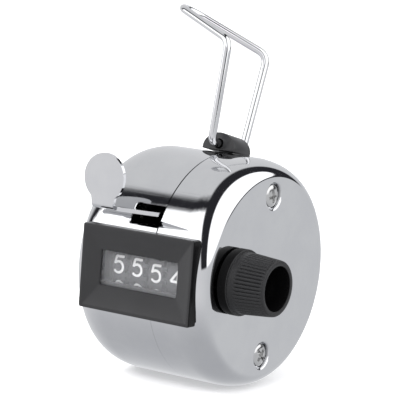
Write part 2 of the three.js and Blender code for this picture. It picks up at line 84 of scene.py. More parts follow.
def make_camera(target, azimuth, elevation, roll, distance, lens):
    """A camera that looks at target from a bearing: azimuth 0 is the window side, 90 the knob side."""
    az, el = math.radians(azimuth), math.radians(elevation)
    back = Vector((math.sin(az) * math.cos(el), -math.cos(az) * math.cos(el), math.sin(el)))
    right = Vector((math.cos(az), math.sin(az), 0))
    up = back.cross(right)
    turn = Matrix.Rotation(math.radians(roll), 3, back)
    axes = Matrix((turn @ right, turn @ up, back)).transposed()
    data = bpy.data.cameras.new("camera")
    data.lens = lens
    data.sensor_width = 36
    data.clip_start = 0.01
    camera = bpy.data.objects.new("camera", data)
    camera.matrix_world = Matrix.Translation(Vector(target) * MM + back * distance * MM) @ axes.to_4x4()
    bpy.context.scene.collection.objects.link(camera)
    bpy.context.scene.camera = camera


make_camera(target=(13.53, 0.59, 12.56), azimuth=34.12, elevation=7.36, roll=4.27, distance=418.3, lens=190)


# ---------------------------------------------------------------- mesh tools

def link(name, mesh):
    obj = bpy.data.objects.new(name, mesh)
    bpy.context.scene.collection.objects.link(obj)
    return obj


def mesh_object(name, verts, faces):
    """A smooth-shaded object from millimetre points, with its faces turned outwards."""
    mesh = bpy.data.meshes.new(name)
    bm = bmesh.new()
    made = [bm.verts.new(Vector(v) * MM) for v in verts]
    for face in faces:
        bm.faces.new([made[i] for i in face])
    bmesh.ops.remove_doubles(bm, verts=bm.verts, dist=1e-7)
    bmesh.ops.recalc_face_normals(bm, faces=bm.faces)
    for face in bm.faces:
        face.smooth = True
    bm.to_mesh(mesh)
    bm.free()
    return link(name, mesh)


def skin(name, loops, closed=False, caps=(False, False)):
    """Joins equal loops of points with quads; closed joins the last loop to the first."""
    count = len(loops[0])
    verts = [point for loop in loops for point in loop]
    faces = []
    rows = len(loops) if closed else len(loops) - 1
    for row in range(rows):
        here, there = row * count, ((row + 1) % len(loops)) * count
        for i in range(count):
            j = (i + 1) % count
            faces.append((here + i, here + j, there + j, there + i))
    if caps[0]:
        faces.append(tuple(reversed(range(count))))
    if caps[1]:
        faces.append(tuple((len(loops) - 1) * count + i for i in range(count)))
    return mesh_object(name, verts, faces)


def revolve(name, profile, segments, centre=(0, 0), ribs=None):
    """Turns a closed profile of (x, radius) about an axis along X through centre (y, z)."""
    loops = []
    for i in range(segments):
        angle = 2 * math.pi * i / segments
        loop = []
        for x, radius in profile:
            r = radius if ribs is None else ribs(x, radius, angle)
            loop.append((x, centre[0] + r * math.cos(angle), centre[1] + r * math.sin(angle)))
        loops.append(loop)
    return skin(name, loops, closed=True)


def prism(name, outer, holes, place, depth):
    """A flat outline with holes, thickened. place turns (a, b, c) into a point; c runs from 0 to depth."""
    rings = [outer, *holes]
    flat = [[Vector((a, b, 0)) for a, b in ring] for ring in rings]
    points = [p for ring in rings for p in ring]
    total = len(points)
    triangles = tessellate_polygon(flat)
    verts = [place(a, b, 0) for a, b in points] + [place(a, b, depth) for a, b in points]
    faces = [tuple(t) for t in triangles] + [tuple(i + total for i in reversed(t)) for t in triangles]
    start = 0
    for ring in rings:
        for i in range(len(ring)):
            j = (i + 1) % len(ring)
            faces.append((start + i, start + j, start + j + total, start + i + total))
        start += len(ring)
    return mesh_object(name, verts, faces)


def arc(centre, radius, start, end, steps):
    """Points on an arc, angles in degrees."""
    angles = [math.radians(start + (end - start) * i / steps) for i in range(steps + 1)]
    return [(centre[0] + radius * math.cos(a), centre[1] + radius * math.sin(a)) for a in angles]


def circle(centre, radius, steps):
    return arc(centre, radius, 0, 360 * (steps - 1) / steps, steps - 1)


def apply_modifiers(obj):
    graph = bpy.context.evaluated_depsgraph_get()
    graph.update()
    mesh = bpy.data.meshes.new_from_object(obj.evaluated_get(graph))
    obj.modifiers.clear()
    obj.data = mesh
    return obj


def boolean(obj, others, operation="DIFFERENCE"):
    for index, other in enumerate(others):
        modifier = obj.modifiers.new(f"cut{index}", "BOOLEAN")
        modifier.operation = operation
        modifier.solver = "MANIFOLD"
        modifier.object = other
    apply_modifiers(obj)
    for other in others:
        bpy.data.objects.remove(other)
    return obj


def soften(obj, width, segments=2, angle=35):
    """Rounds the sharp edges by a width in millimetres and keeps the flat faces flat."""
    bevel = obj.modifiers.new("bevel", "BEVEL")
    bevel.width = width * MM
    bevel.segments = segments
    bevel.limit_method = "ANGLE"
    bevel.angle_limit = math.radians(angle)
    bevel.harden_normals = True
    apply_modifiers(obj)
    return obj


def smooth_by_angle(obj, angle=30):
    obj.data.shade_smooth()
    obj.data.set_sharp_from_angle(angle=math.radians(angle))
    return obj


def sweep(name, points, radius, sides):
    """A round wire along points, with domed ends."""
    path = [Vector(p) for p in points]
    tangents = []
    for i in range(len(path)):
        before, after = path[max(i - 1, 0)], path[min(i + 1, len(path) - 1)]
        tangents.append((after - before).normalized())
    normal = tangents[0].orthogonal().normalized()
    loops = []

    def ring(centre, tangent, scale):
        side = tangent.cross(normal)
        angles = [2 * math.pi * k / sides for k in range(sides)]
        return [centre + (normal * math.cos(a) + side * math.sin(a)) * radius * scale for a in angles]

    for i, centre in enumerate(path):
        tangent = tangents[i]
        normal = (normal - tangent * normal.dot(tangent)).normalized()
        if i == 0:
            loops.append(ring(centre - tangent * radius * 0.25, tangent, 0.75))
        loops.append(ring(centre, tangent, 1))
        if i == len(path) - 1:
            loops.append(ring(centre + tangent * radius * 0.25, tangent, 0.75))
    return skin(name, loops, caps=(True, True))


def show(obj, body, slot, material, *nodes):
    """Gives a finished piece its material and body, and hides the CAD nodes that it stands for."""
    obj.data.materials.clear()
    obj.data.materials.append(material)
    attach(obj, body)
    if nodes:
        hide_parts(*nodes)
    return obj


# ---------------------------------------------------------------- materials

class Nodes:
    """Short calls for building a node tree."""

    def __init__(self, tree):
        self.tree = tree
        self.tree.nodes.clear()

    def add(self, kind, settings=None, **inputs):
        node = self.tree.nodes.new(kind)
        for key, value in (settings or {}).items():
            setattr(node, key, value)
        for key, value in inputs.items():
            self.feed(node.inputs[key.replace("_", " ")], value)
        return node

    def feed(self, socket, value):
        if isinstance(value, bpy.types.NodeSocket):
            self.tree.links.new(value, socket)
        else:
            socket.default_value = value

    def maths(self, operation, a, b=0.0):
        node = self.tree.nodes.new("ShaderNodeMath")
        node.operation = operation
        self.feed(node.inputs[0], a)
        self.feed(node.inputs[1], b)
        return node.outputs[0]

    def dot(self, vector, direction):
        node = self.tree.nodes.new("ShaderNodeVectorMath")
        node.operation = "DOT_PRODUCT"
        self.feed(node.inputs[0], vector)
        node.inputs[1].default_value = direction
        return node.outputs["Value"]

    def step(self, value, low, high, to_low=0.0, to_high=1.0):
        """A smooth change from to_low to to_high as value goes from low to high."""
        node = self.add("ShaderNodeMapRange", {"interpolation_type": "SMOOTHSTEP"})
        ends = {"From Min": low, "From Max": high, "To Min": to_low, "To Max": to_high}
        for name, number in ends.items():
            node.inputs[name].default_value = number
        self.feed(node.inputs["Value"], value)
        return node.outputs["Result"]

    def blend(self, factor, a, b):
        node = self.add("ShaderNodeMix", {"data_type": "RGBA"})
        self.feed(node.inputs["Factor"], factor)
        self.feed(node.inputs["A"], a)
        self.feed(node.inputs["B"], b)
        return node.outputs["Result"]


def new_material(name, **shader):
    """A Principled material; uniform values are set on the shader's own sockets."""
    material = bpy.data.materials.new(name)
    material.use_nodes = True
    nodes = Nodes(material.node_tree)
    output = nodes.add("ShaderNodeOutputMaterial")
    principled = nodes.add("ShaderNodeBsdfPrincipled", **shader)
    material.node_tree.links.new(principled.outputs["BSDF"], output.inputs["Surface"])
    return material, nodes, principled


def object_noise(nodes, scale, detail=3.0, stretch=(1, 1, 1), rough=0.5):
    """Noise fixed to the object; scale is in features per metre."""
    where = nodes.add("ShaderNodeTexCoord").outputs["Object"]
    mapping = nodes.add("ShaderNodeMapping", Vector=where, Scale=stretch)
    noise = nodes.add("ShaderNodeTexNoise", Vector=mapping.outputs["Vector"], Scale=scale, Detail=detail)
    noise.inputs["Roughness"].default_value = rough
    return noise.outputs["Fac"]


def add_bump(nodes, principled, height, strength, distance):
    bump = nodes.add("ShaderNodeBump", Strength=strength, Distance=distance, Height=height)
    nodes.feed(principled.inputs["Normal"], bump.outputs["Normal"])


def metal(name, colour, tint, roughness, spread, waviness=0.02, brushed=(1, 1, 1)):
    """Polished or brushed metal: faint handling marks in its roughness and a slight waviness."""
    material, nodes, shader = new_material(name, Metallic=1.0)
    smudges = object_noise(nodes, 140, 4.0, rough=0.6)
    fine = object_noise(nodes, 900, 2.0, brushed)
    patchy = nodes.maths("MULTIPLY", smudges, fine)
    nodes.feed(shader.inputs["Base Color"], nodes.blend(nodes.step(smudges, 0.3, 0.7), colour, tint))
    nodes.feed(shader.inputs["Roughness"], nodes.step(patchy, 0.12, 0.42, roughness, roughness + spread))
    add_bump(nodes, shader, fine, waviness, 0.00002)
    return material


def plastic(name, colour, tint, roughness, spread, grain, strength):
    """Moulded plastic: spark-eroded grain, a little mottling and rubbed, glossier high spots."""
    material, nodes, shader = new_material(name, IOR=1.49)
    mottle = object_noise(nodes, 90, 4.0, rough=0.6)
    texture = object_noise(nodes, grain, 3.0)
    nodes.feed(shader.inputs["Base Color"], nodes.blend(nodes.step(mottle, 0.3, 0.75), colour, tint))
    nodes.feed(shader.inputs["Roughness"], nodes.step(mottle, 0.25, 0.75, roughness, roughness + spread))
    add_bump(nodes, shader, texture, strength, 0.00003)
    return material


def plastic_with_painted_shade(name, lit_part, painted_shade, colour, tint, roughness, shine, grain, strength):
    """Black moulded plastic with painted shade: outside the part where lit_part(nodes) gives 1, its colour is a
    darker painted shade and its specular level is lower.
    """
    material, nodes, shader = new_material(name, IOR=1.49)
    lit = lit_part(nodes)
    mottle = object_noise(nodes, 90, 4.0, rough=0.6)
    grey = nodes.blend(nodes.step(mottle, 0.3, 0.75), colour, tint)
    # Painted shade: outside the lit part the colour blends to the darker shade colour.
    nodes.feed(shader.inputs["Base Color"], nodes.blend(lit, painted_shade, grey))
    nodes.feed(shader.inputs["Roughness"], nodes.step(mottle, 0.25, 0.75, *roughness))
    nodes.feed(shader.inputs["Specular IOR Level"], nodes.step(lit, 0, 1, *shine))
    add_bump(nodes, shader, object_noise(nodes, grain, 3.0), strength, 0.00003)
    return material


def object_axes(nodes):
    """The three coordinates of the shaded point, in metres in the CAD frame."""
    where = nodes.add("ShaderNodeTexCoord").outputs["Object"]
    return nodes.add("ShaderNodeSeparateXYZ", Vector=where).outputs


def clear_plastic():
    material, nodes, shader = new_material("clear_window", IOR=1.49, Alpha=0.07)
    haze = object_noise(nodes, 200, 3.0)
    cool = (0.86, 0.88, 0.92, 1)
    nodes.feed(shader.inputs["Base Color"], nodes.blend(haze, cool, (0.95, 0.95, 0.97, 1)))
    nodes.feed(shader.inputs["Roughness"], nodes.step(haze, 0.3, 0.7, 0.03, 0.08))
    return material


CHROME = metal("chrome_plate", (0.60, 0.605, 0.62, 1), (0.63, 0.635, 0.645, 1), 0.035, 0.05, 0.012)
WIRE = metal("chromed_wire", (0.62, 0.625, 0.64, 1), (0.66, 0.66, 0.67, 1), 0.05, 0.08, 0.02, (1, 1, 6))
STEEL = metal("bright_steel", (0.52, 0.52, 0.525, 1), (0.58, 0.58, 0.575, 1), 0.14, 0.08, 0.02, (8, 1, 1))
ZINC = metal("zinc_plated_sheet", (0.48, 0.47, 0.43, 1), (0.58, 0.56, 0.48, 1), 0.32, 0.2, 0.08)
BRASS = metal("turned_brass", (0.60, 0.42, 0.16, 1), (0.70, 0.52, 0.24, 1), 0.22, 0.15, 0.05, (6, 1, 1))
BLACK = plastic("satin_black_plastic", (0.01, 0.01, 0.0112, 1),
                (0.014, 0.014, 0.0155, 1), 0.36, 0.1, 2600, 0.12)
DRUM = plastic("wheel_dark_plastic", (0.017, 0.017, 0.019, 1), (0.024, 0.024, 0.027, 1), 0.5, 0.15, 1800, 0.1)
PAINT = plastic("numeral_white_print", (0.60, 0.60, 0.60, 1), (0.68, 0.68, 0.68, 1), 0.5, 0.15, 3000, 0.05)
LENS = clear_plastic()


# ---------------------------------------------------------------- case

def skin_radius(distance, inset=0.0):
    """The case's radius at a distance from a flat face, for a surface set in by inset."""
    if distance >= EDGE_AXIAL:
        return CASE_R - inset
    share = (EDGE_AXIAL - distance) / (EDGE_AXIAL - inset)
    return CASE_R - EDGE_RADIAL + (EDGE_RADIAL - inset) * math.sqrt(max(0.0, 1 - share * share))


def window_ring(middle, width, height, corner, depth):
    """A rounded rectangle in (x, z) with evenly divided sides; depth gives each point's y."""
    half = (width / 2 - corner, height / 2 - corner)
    ring = []
    sides = 20
    for quarter, (a, b) in enumerate(((1, 1), (-1, 1), (-1, -1), (1, -1))):
        centre = (middle[0] + a * half[0], middle[1] + b * half[1])
        start = 90 * quarter
        bend = arc(centre, corner, start, start + 90, 8)
        ring += bend
        na, nb = ((-1, 1), (-1, -1), (1, -1), (1, 1))[quarter]
        after = (middle[0] + na * half[0], middle[1] + nb * half[1])
        turn = math.radians(start + 90)
        target = (after[0] + corner * math.cos(turn), after[1] + corner * math.sin(turn))
        last = bend[-1]
        for i in range(1, sides):
            t = i / sides
            ring.append((last[0] * (1 - t) + target[0] * t, last[1] * (1 - t) + target[1] * t))
    return [(x, depth(x, z) if callable(depth) else depth, z) for x, z in ring]


def case_front(x, z):
    """The y of the case's surface in front of a point (x, z)."""
    radius = skin_radius(min(x, CASE_W - x))
    return -math.sqrt(max(radius * radius - z * z, 0))


def shell_profile(depth):
    """One shell's closed section, (distance from its flat face, radius), from the axis and back to it."""
    steps = 40
    shoulder = CASE_R - EDGE_RADIAL
    outer, inner = [], []
    for i in range(steps + 1):
        angle = math.pi / 2 * i / steps
        for points, inset in ((outer, 0.0), (inner, WALL)):
            x = EDGE_AXIAL - (EDGE_AXIAL - inset) * math.cos(angle)
            points.append((x, shoulder + (EDGE_RADIAL - inset) * math.sin(angle)))
    rounding, rows = 0.04, 8
    band = [(EDGE_AXIAL + (depth - rounding - EDGE_AXIAL) * i / rows, CASE_R) for i in range(1, rows)]
    lip = [(depth - rounding + x, CASE_R - rounding + y) for x, y in arc((0, 0), rounding, 90, 0, 3)]
    face = [(0.0, shoulder * t) for t in (0.25, 0.5, 0.75)]
    back = [(WALL, shoulder * t) for t in (0.75, 0.5, 0.25)]
    rim = (depth, CASE_R - WALL)
    return [(0, 0), *face, *outer, *band, *lip, rim, *reversed(inner), *back, (WALL, 0)]


def solid_disc(name, profile, segments, centre=(0, 0)):
    """A solid turned about X; the profile's ends lie on the axis, and each is closed by a fan."""
    verts, faces = [(profile[0][0], *centre)], []
    rings = profile[1:-1]
    for x, radius in rings:
        for i in range(segments):
            angle = 2 * math.pi * i / segments
            verts.append((x, centre[0] + radius * math.cos(angle), centre[1] + radius * math.sin(angle)))
    verts.append((profile[-1][0], *centre))
    last = len(verts) - 1
    for i in range(segments):
        j = (i + 1) % segments
        faces.append((0, 1 + j, 1 + i))
        end = 1 + (len(rings) - 1) * segments
        faces.append((last, end + i, end + j))
        for row in range(len(rings) - 1):
            a, b = 1 + row * segments, 1 + (row + 1) * segments
            faces.append((a + i, a + j, b + j, b + i))
    return mesh_object(name, verts, faces)


def flip_x(profile, mirrored):
    return [(CASE_W - x, r) for x, r in profile] if mirrored else profile


def straight_box(name, low, high):
    def place(a, b, c):
        return a, c + low[1], b

    ring = [(low[0], low[2]), (high[0], low[2]), (high[0], high[2]), (low[0], high[2])]
    return prism(name, ring, [], place, high[1] - low[1])


def lever_slot_cutter():
    """The opening that the lever passes through, with its edge broken to a narrow bright rim."""
    left, right, low, high = 11.95, 19.4, 9.3, 13.15
    middle, size = ((left + right) / 2, (low + high) / 2), (right - left, high - low)
    sunk, raised, flare = 0.16, 0.2, 0.26

    def just_inside(x, z):
        return case_front(x, z) + sunk

    def just_outside(x, z):
        return case_front(x, z) - raised

    loops = [window_ring(middle, *size, 0.5, -14), window_ring(middle, *size, 0.5, just_inside)]
    wide = (size[0] + 2 * flare, size[1] + 2 * flare)
    loops += [window_ring(middle, *wide, 0.6, just_outside), window_ring(middle, *wide, 0.6, -24)]
    return skin("slot", loops, caps=(True, True))


def dent_cutter():
    """A shallow notch across the seam below the slot: deepest at the seam, running out on both sides."""
    reach, depth, slope, place, droop = 8.2, 0.52, math.radians(24), 62.6, 1.8

    def on_skin(turn, sink):
        angle = math.radians(turn)
        return Vector((0, -math.sin(angle), math.cos(angle))) * (CASE_R - sink)

    corner = on_skin(place, depth)
    outward = on_skin(place, 0).normalized()
    downward = Vector((0, -outward.z, outward.y))
    floor = downward * math.cos(slope) + outward * math.sin(slope)
    wall = outward * math.cos(slope) - downward * math.sin(slope)
    middle = Vector((SEAM_X, 0, 0))
    tip = on_skin(place + droop, -0.02)
    verts = [middle + corner, middle + corner + floor * 4, middle + corner + wall * 3]
    verts += [middle + tip - Vector((reach, 0, 0)), middle + tip + Vector((reach, 0, 0))]
    faces = [(3, 0, 1), (3, 2, 0), (3, 1, 2), (4, 1, 0), (4, 0, 2), (4, 2, 1)]
    return mesh_object("dent", verts, faces)


def screw_cutters(mirrored):
    """The round dish and the clearance hole of each of a shell's two screws."""
    dish = [(-1, 0), (-1, 3.7), (-0.02, 2.92), (0.06, 2.74), (0.2, 2.6), (0.4, 2.54), (1.1, 2.5), (1.1, 0)]
    hole = [(0.5, 0), (0.5, 1.35), (4, 1.35), (4, 0)]
    cutters = []
    for z in (SCREW_Z, -SCREW_Z):
        cutters.append(solid_disc("dish", flip_x(dish, mirrored), 64, (0, z)))
        cutters.append(solid_disc("hole", flip_x(hole, mirrored), 32, (0, z)))
    return cutters


def screw_bosses(mirrored):
    boss = [(0.4, 0), (0.4, 3.6), (2.0, 3.6), (2.0, 0)]
    return [solid_disc("boss", flip_x(boss, mirrored), 48, (0, z)) for z in (SCREW_Z, -SCREW_Z)]


def corner_places(mesh):
    """Each face corner's place in millimetres, one row a corner."""
    index = np.zeros(len(mesh.loops), np.int32)
    mesh.loops.foreach_get("vertex_index", index)
    place = np.zeros(len(mesh.vertices) * 3, np.float32)
    mesh.vertices.foreach_get("co", place)
    return place.reshape(-1, 3)[index].astype(float) / MM


def turned_surface(p):
    """For each place: the normal that the case's turned surface has there, and whether it lies on it."""
    shoulder, tiny = CASE_R - EDGE_RADIAL, 1e-9
    radius = np.hypot(p[:, 1], p[:, 2])
    left = p[:, 0] < CASE_W / 2
    distance = np.where(left, p[:, 0], CASE_W - p[:, 0])
    along = np.clip((EDGE_AXIAL - distance) / EDGE_AXIAL, 0, 1)
    across = np.clip((radius - shoulder) / EDGE_RADIAL, 0, 1)
    error = np.abs(radius - shoulder - EDGE_RADIAL * np.sqrt(1 - along ** 2))
    on_surface = (error < 0.02) | ((distance < 0.01) & (radius < shoulder))
    nx = along / EDGE_AXIAL * np.where(left, -1, 1)
    nr = across / EDGE_RADIAL
    size = np.maximum(np.hypot(nx, nr), tiny)
    safe = np.maximum(radius, tiny)
    normal = np.stack([nx / size, nr / size * p[:, 1] / safe, nr / size * p[:, 2] / safe], 1)
    return normal, on_surface


def exact_normals(obj):
    """Gives the case's turned surface its true normals, so that its mirror finish shows no facets."""
    mesh = obj.data
    mesh.shade_smooth()
    mesh.set_sharp_from_angle(angle=math.radians(20))
    corners = np.zeros(len(mesh.loops) * 3, np.float32)
    mesh.corner_normals.foreach_get("vector", corners)
    normal, on_surface = turned_surface(corner_places(mesh))
    owner = np.repeat(np.arange(len(mesh.polygons)), [face.loop_total for face in mesh.polygons])
    whole = np.bincount(owner, ~on_surface, len(mesh.polygons)) == 0
    normals = np.where(whole[owner][:, None], normal, corners.reshape(-1, 3))
    mesh.normals_split_custom_set([tuple(n) for n in normals])


def open_seam(shell, mirrored):
    """Draws the shell's edge back from the seam: a fine open line on top, nearly closed underneath."""
    closed, more, fade = 0.012, 0.108, 12
    for v in shell.data.vertices:
        if abs(v.co.x / MM - SEAM_X) < 0.2 and v.co.yz.length / MM > CASE_R - WALL - 0.1:
            share = min(1.0, max(0.0, 0.5 + v.co.z / MM / fade))
            v.co.x += (closed + more * share) * (MM if mirrored else -MM)


def plug_hole():
    """The cut in the case's front that takes the window frame's plug."""
    (x, z), half_width, half_height = PLUG_MIDDLE, 12.2, 7.4
    low = (x - half_width, -30, z - half_height)
    high = (x + half_width, -12, z + half_height)
    return straight_box("window", low, high)


def case_shell(name, mirrored):
    depth = CASE_W - SEAM_X if mirrored else SEAM_X
    shell = solid_disc(name, flip_x(shell_profile(depth), mirrored), 240)
    open_seam(shell, mirrored)
    boolean(shell, screw_bosses(mirrored), "UNION")
    cutters = [*screw_cutters(mirrored), plug_hole(), dent_cutter()]
    if mirrored:
        hole = [(-1, 0), (-1, 2.6), (3, 2.6), (3, 0)]
        cutters.append(solid_disc("shaft_hole", flip_x(hole, True), 48, (SHAFT_Y, SHAFT_Z)))
    else:
        cutters.append(lever_slot_cutter())
    boolean(shell, cutters)
    exact_normals(shell)
    return show(shell, "case", "chrome", CHROME, name)


case_shell("left_case_shell", False).name = "left_shell_plate"
case_shell("right_case_shell", True).name = "right_shell_plate"


# ---------------------------------------------------------------- case screws

def cross_cutter(mirrored, z, turn):
    """The cross recess of a screw head: two tapered blades."""
    blades = []
    for extra in (0, 90):
        loops = []
        for x, length, width in ((-0.6, 3.5, 1.2), (0.78, 2.3, 0.5)):
            angle = math.radians(turn + extra)
            u = Vector((math.cos(angle), math.sin(angle)))
            v = Vector((-u.y, u.x))
            corners = [(-1, -1), (1, -1), (1, 1), (-1, 1)]
            flat = [u * a * length / 2 + v * b * width / 2 for a, b in corners]
            at = CASE_W - x if mirrored else x
            loops.append([(at, p.x, p.y + z) for p in flat])
        blades.append(skin("blade", loops, caps=(True, True)))
    return blades


def case_screw(name, mirrored, z, turn):
    head = [(0.08, 0), (0.1, 0.7), (0.17, 1.3), (0.3, 1.8), (0.47, 2.12), (0.62, 2.22), (0.78, 2.25),
            (0.85, 2.2), (0.85, 1.0), (5.0, 1.0), (5.0, 0)]
    screw = solid_disc(name, flip_x(head, mirrored), 64, (0, z))
    boolean(screw, cross_cutter(mirrored, z, turn))
    smooth_by_angle(screw, 28)
    return show(screw, "case", "steel", STEEL, name)


SCREWS = (
    ("right_upper_screw", True, SCREW_Z, 12), ("right_lower_screw", True, -SCREW_Z, 50),
    ("left_upper_screw", False, SCREW_Z, 33), ("left_lower_screw", False, -SCREW_Z, 71),
)
for screw_name, on_right, height, turn in SCREWS:
    case_screw(screw_name, on_right, height, turn).name = f"{screw_name}_head"


# ---------------------------------------------------------------- window

def frame_plastic():
    """The window frame's moulding: the face is polished, and its right end wall has painted shade, a darker colour
    with a lower specular level.
    """
    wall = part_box("window_bezel")[1].x

    def face(nodes):
        return nodes.step(object_axes(nodes)["X"], wall - 0.2 * MM, wall - 0.05 * MM, 1.0, 0.0)

    # The darker colour on the right end wall is painted shade.
    return plastic_with_painted_shade(
        "window_frame_plastic", face, painted_shade=(0.003, 0.003, 0.0033, 1), colour=(0.006, 0.006, 0.0068, 1),
        tint=(0.009, 0.009, 0.01, 1), roughness=(0.2, 0.26), shine=(0.12, 0.6), grain=2600, strength=0.1,
    )


def front_box(node):
    """A CAD node's box in millimetres: its middle (x, z), its width and height, and its front and back y."""
    low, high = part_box(node)
    low, high = low / MM, high / MM
    middle = ((low.x + high.x) / 2, (low.z + high.z) / 2)
    return middle, (high.x - low.x, high.z - low.z), (low.y, high.y)


def outer_loops(middle, width, height, front, seat):
    """The frame's outside, from the case to the rounded front edge and the start of the bevel."""
    corner, rounding, margin, blend = 0.4, 0.2, 0.6, 0.14
    loops = [window_ring(middle, width, height, corner, seat)]
    loops.append(window_ring(middle, width, height, corner, front + rounding + 0.1))
    for i in range(5):
        angle = math.pi / 2 * i / 4
        inset = rounding * (1 - math.cos(angle))
        y = front + rounding * (1 - math.sin(angle))
        loops.append(window_ring(middle, width - 2 * inset, height - 2 * inset, corner - inset * 0.6, y))
    inner = (width - 2 * margin, height - 2 * margin)
    loops.append(window_ring(middle, *inner, 0.35, front))
    loops.append(window_ring(middle, inner[0] - blend, inner[1] - blend, 0.3, front + 0.03))
    return loops


def inner_loops(front, seat):
    """The bevel's end at the opening, the seat of the lens, and the plug's outside back to the case."""
    opening = (OPENING_MIDDLE[0] - 0.1, OPENING_MIDDLE[1])
    width, height, depth, blend = 18.0, 6.75, 1.1, 0.14
    lens_seat, plug = (20.3, 9.3, 0.4), (23.8, 14.2, 0.4)
    return [
        window_ring(opening, width + blend, height + blend, 0.22, front + depth - 0.03),
        window_ring(opening, width, height, 0.2, front + depth + 0.05),
        window_ring(opening, width, height, 0.2, -21.75),
        window_ring(OPENING_MIDDLE, *lens_seat, -21.7),
        window_ring(OPENING_MIDDLE, *lens_seat, PLUG_BACK),
        window_ring(PLUG_MIDDLE, *plug, PLUG_BACK),
        window_ring(PLUG_MIDDLE, *plug, seat),
    ]


def window_bezel():
    """The moulded frame: a slab round the window, a bevelled mouth, and a plug that enters the case."""
    middle, size, (front, _) = front_box("window_bezel")

    def seat(x, z):
        return min(-21.0, case_front(x, z) - 0.05)

    loops = outer_loops(middle, *size, front, seat) + inner_loops(front, seat)
    bezel = skin("window_frame_moulding", loops, closed=True)
    smooth_by_angle(bezel, 24)
    return show(bezel, "case", "black_plastic", frame_plastic(), "window_bezel")


def window_sill():
    """A low ledge behind the window's lower edge, in front of the wheels."""
    (x, z), half_width, bottom, top = OPENING_MIDDLE, 10.1, -4.6, -2.85
    low = (x - half_width, -20.9, z + bottom)
    high = (x + half_width, PLUG_BACK - 0.03, z + top)
    sill = straight_box("window_ledge", low, high)
    soften(sill, 0.08)
    return show(sill, "case", "black_plastic", DRUM)


def window_lens():
    middle, size, (front, back) = front_box("window_lens")
    loops = []
    for y, inset in ((front, 0.12), (front + 0.1, 0), (back - 0.1, 0), (back, 0.12)):
        loops.append(window_ring(middle, size[0] - 2 * inset, size[1] - 2 * inset, 0.3, y))
    lens = skin("window_lens_plate", loops, caps=(True, True))
    smooth_by_angle(lens, 24)
    return show(lens, "case", "clear_plastic", LENS, "window_lens")


window_bezel()
window_sill()
window_lens()


# ---------------------------------------------------------------- number wheels

def gear_space_cutter(x, width):
    """Twenty tooth spaces round a wheel's edge, as one ring with a toothed inside."""
    teeth, tip, root = 20, WHEEL_R + 0.02, 6.85
    inner = []
    for tooth in range(teeth):
        for radius, share in ((root, -0.55), (tip, -0.28), (tip, 0.28), (root, 0.55)):
            angle = (tooth + 0.5 + share / 2) * 2 * math.pi / teeth
            inner.append((radius * math.cos(angle), radius * math.sin(angle)))
    outer = circle((0, 0), WHEEL_R + 1, 80)
    return prism("spaces", outer, [inner], lambda a, b, c: (x + c, SHAFT_Y + a, SHAFT_Z + b), width)


def number_wheel(place):
    low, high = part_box(f"{place}_wheel")
    middle = (low.x + high.x) / 2 / MM
    half, edge = WHEEL_W / 2, 0.12
    profile = [
        (-half, 1.6), (-half, 3.1), (-0.5, 3.1), (-0.5, 6.4), (-half, 6.4), (-half, WHEEL_R - edge),
        (-half + edge, WHEEL_R), (half - edge, WHEEL_R), (half, WHEEL_R - edge), (half, 1.6),
    ]
    wheel = revolve(f"{place}_drum", [(middle + x, r) for x, r in profile], 160, (SHAFT_Y, SHAFT_Z))
    boolean(wheel, [gear_space_cutter(middle + half - 0.95, 1.2)])
    smooth_by_angle(wheel, 25)
    return show(wheel, place, "wheel_plastic", DRUM, f"{place}_wheel")


def stroke_arc(cx, cz, rx, rz, start, end, steps=14):
    return [(cx + rx * math.cos(a), cz + rz * math.sin(a))
            for a in (math.radians(start + (end - start) * i / steps) for i in range(steps + 1))]


def digit_strokes(digit):
    """The centre lines of a plain numeral, in millimetres about its middle."""
    w, h = 1.08, 1.55
    ring = stroke_arc(0, 0, w, h, 0, 360, 36)
    six = [stroke_arc(0, -0.6, w, 1.0, 0, 360, 30), stroke_arc(0, 0, w, h, 35, 180, 20) + [(-w, -0.6)]]
    bowl = stroke_arc(-0.05, -0.52, w, 1.08, 138, -142, 24)
    strokes = {
        0: [ring],
        1: [[(0.1, -h), (0.1, h)], [(0.1, h), (-0.55, 1.0)]],
        2: [stroke_arc(0, 0.62, w, 0.98, 165, -35, 20) + [(-w, -h)], [(-w, -h), (w, -h)]],
        3: [stroke_arc(0, 0.78, 0.95, 0.82, 150, -90, 18), stroke_arc(0, -0.76, w, 0.84, 90, -150, 18)],
        4: [[(0.45, h), (-1.15, -0.55)], [(-1.15, -0.55), (1.2, -0.55)], [(0.5, h), (0.5, -h)]],
        5: [[(0.95, h), (-0.72, h)], [(-0.72, h), (-0.88, 0.12)], bowl],
        6: six,
        7: [[(-w, h), (w, h)], [(w, h), (-0.25, -h)]],
        8: [stroke_arc(0, 0.8, 0.88, 0.8, 0, 360, 26), stroke_arc(0, -0.78, w, 0.84, 0, 360, 30)],
        9: [[(-x, -z) for x, z in stroke] for stroke in six],
    }
    return strokes[digit]


def finer(points, limit=0.3):
    """The same line with its long pieces divided."""
    line = [points[0]]
    for (ax, az), (bx, bz) in zip(points, points[1:]):
        parts = max(1, math.ceil(math.hypot(bx - ax, bz - az) / limit))
        line += [(ax + (bx - ax) * i / parts, az + (bz - az) * i / parts) for i in range(1, parts + 1)]
    return line


